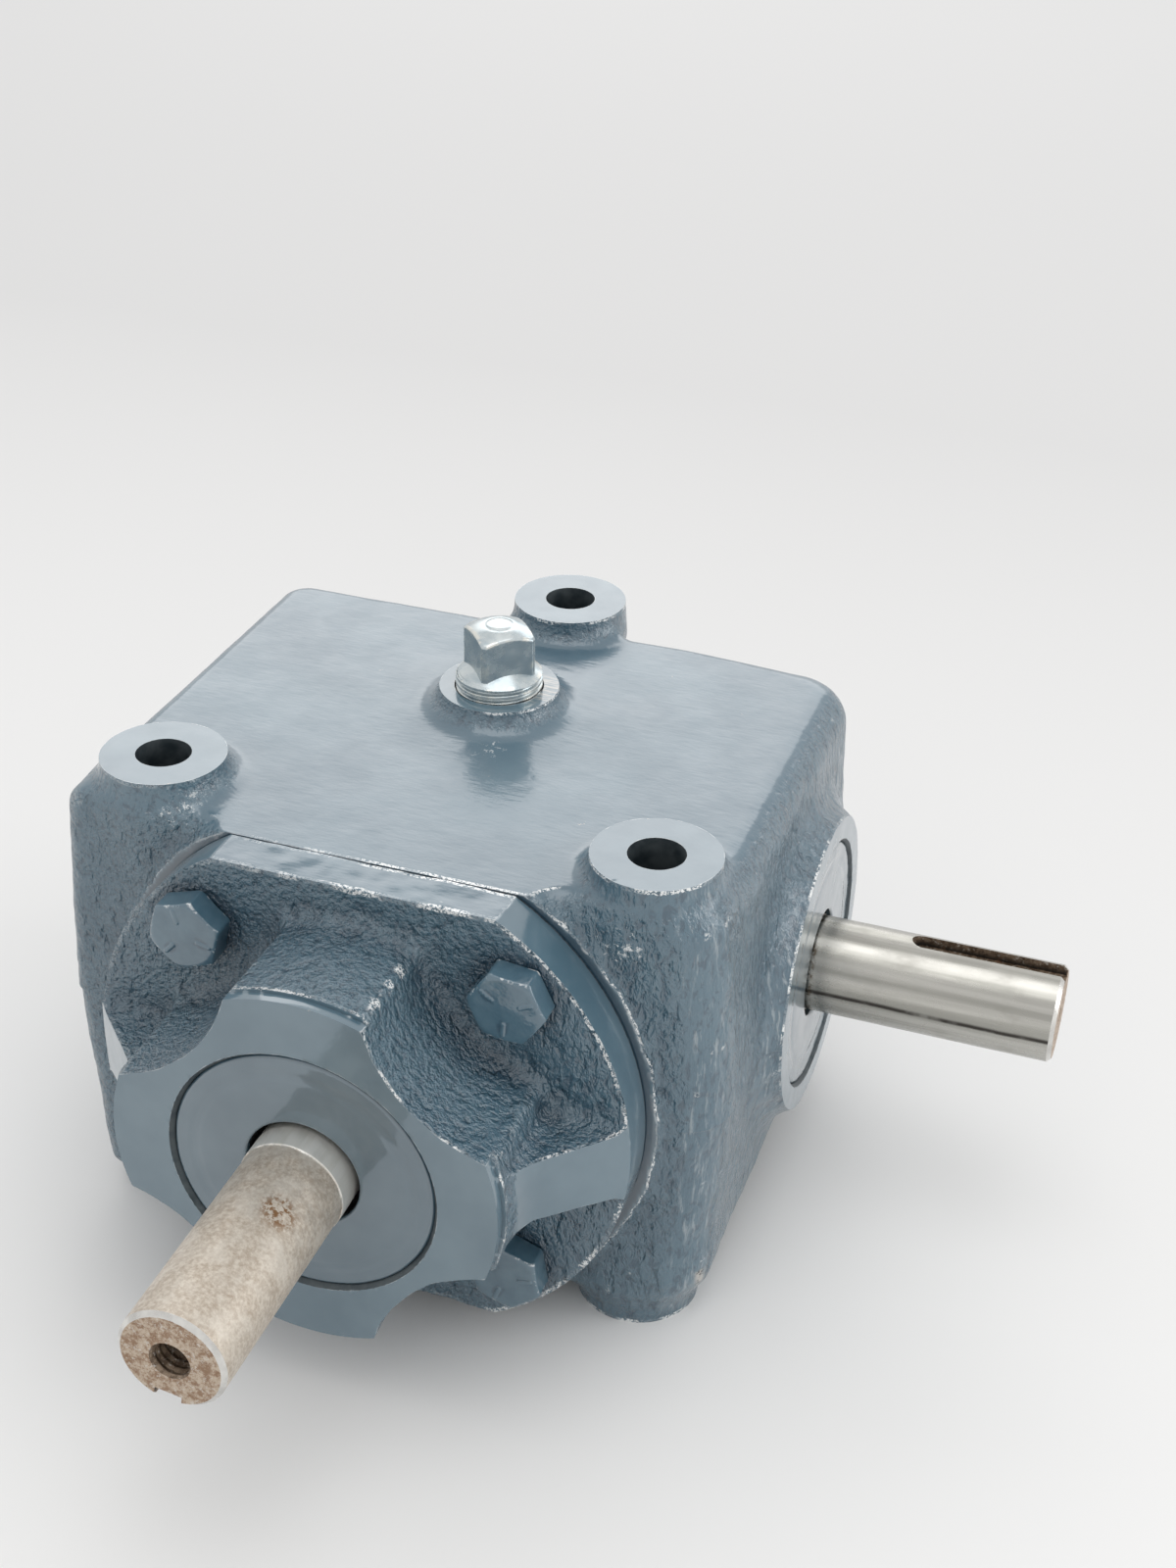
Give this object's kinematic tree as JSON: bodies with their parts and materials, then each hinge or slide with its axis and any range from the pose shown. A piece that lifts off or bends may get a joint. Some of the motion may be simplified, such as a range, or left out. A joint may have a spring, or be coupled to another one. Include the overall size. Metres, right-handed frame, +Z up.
{
  "type": "right angle bevel gearbox",
  "caption": "Cast-iron right angle gearbox: a keyed input shaft in a flanged bearing carrier turns a keyed output shaft at 90 degrees through bevel gears.",
  "frame": {"origin": "point on the base plane (the face of the bottom plug boss and mounting bosses) straight below the crossing of the two shaft axes", "axes": "+X along the output shaft, -Y along the input shaft, +Z up towards the filler plug"},
  "size_m": [0.1845, 0.1928, 0.1116],
  "materials": {
    "painted_casting": "blue-grey enamel over rough sand-cast iron",
    "painted_seal": "blue-grey enamel, smooth",
    "painted_bolt": "blue-grey enamel, worn on the corners",
    "zinc_plug": "bright zinc plate",
    "ground_shaft": "ground steel with an oil film and light rust",
    "hardened_gear": "hardened and oiled steel",
    "bearing_steel": "polished bearing steel",
    "pressed_cage": "pressed steel",
    "spring_steel": "oiled steel",
    "seal_rubber": "moulded nitrile",
    "gasket_paper": "oiled gasket paper"
  },
  "bodies": {
    "gear_case": {"housing": "painted_casting", "bearing_carrier": "painted_casting", "carrier_gasket": "gasket_paper", "carrier_bolts": "painted_bolt", "filler_plug": "zinc_plug", "drain_plug": "zinc_plug", "input_seal_case": "painted_seal", "input_seal_lip": "seal_rubber", "input_seal_spring": "spring_steel", "output_seal_case": "painted_seal", "output_seal_lip": "seal_rubber", "output_seal_spring": "spring_steel", "blind_cap": "painted_seal", "input_cup_outer": "bearing_steel", "input_cup_inner": "bearing_steel", "output_cup_drive": "bearing_steel", "output_cup_blind": "bearing_steel", "output_shim_drive": "spring_steel", "output_shim_blind": "spring_steel", "output_snap_ring_drive": "spring_steel", "output_snap_ring_blind": "spring_steel"},
    "output_drive": {"output_shaft": "ground_shaft", "bevel_gear": "hardened_gear", "gear_key": "spring_steel", "output_spacer": "spring_steel", "output_shaft_ring": "spring_steel", "output_cone_drive": "bearing_steel", "output_cone_blind": "bearing_steel"},
    "input_drive": {"input_shaft": "ground_shaft", "bevel_pinion": "hardened_gear", "pinion_key": "spring_steel", "pinion_ring": "spring_steel", "input_cone_outer": "bearing_steel", "input_cone_inner": "bearing_steel", "input_spacer": "spring_steel", "input_shaft_ring": "spring_steel"},
    "bearing_input_outer": {"rollers_input_outer": "bearing_steel", "cage_input_outer": "pressed_cage"},
    "bearing_input_inner": {"rollers_input_inner": "bearing_steel", "cage_input_inner": "pressed_cage"},
    "bearing_output_drive": {"rollers_output_drive": "bearing_steel", "cage_output_drive": "pressed_cage"},
    "bearing_output_blind": {"rollers_output_blind": "bearing_steel", "cage_output_blind": "pressed_cage"}
  },
  "joints": [
    {"name": "output_spin", "type": "hinge", "parent": "gear_case", "child": "output_drive", "pos_m": [0, 0, 0.0492], "axis": [1, 0, 0], "continuous": true},
    {"name": "input_spin", "type": "hinge", "parent": "gear_case", "child": "input_drive", "pos_m": [0, 0, 0.0492], "axis": [0, -1, 0], "continuous": true},
    {"name": "bearing_input_outer_spin", "type": "hinge", "parent": "gear_case", "child": "bearing_input_outer", "pos_m": [0, 0, 0.0492], "axis": [0, -1, 0], "continuous": true},
    {"name": "bearing_input_inner_spin", "type": "hinge", "parent": "gear_case", "child": "bearing_input_inner", "pos_m": [0, 0, 0.0492], "axis": [0, -1, 0], "continuous": true},
    {"name": "bearing_output_drive_spin", "type": "hinge", "parent": "gear_case", "child": "bearing_output_drive", "pos_m": [0, 0, 0.0492], "axis": [1, 0, 0], "continuous": true},
    {"name": "bearing_output_blind_spin", "type": "hinge", "parent": "gear_case", "child": "bearing_output_blind", "pos_m": [0, 0, 0.0492], "axis": [1, 0, 0], "continuous": true}
  ],
  "couplings": [
    {"joint": "input_spin", "follows": "output_spin", "ratio": 1},
    {"joint": "bearing_input_outer_spin", "follows": "output_spin", "ratio": 0.3855},
    {"joint": "bearing_input_inner_spin", "follows": "output_spin", "ratio": 0.3855},
    {"joint": "bearing_output_drive_spin", "follows": "output_spin", "ratio": 0.3855},
    {"joint": "bearing_output_blind_spin", "follows": "output_spin", "ratio": 0.3855}
  ]
}
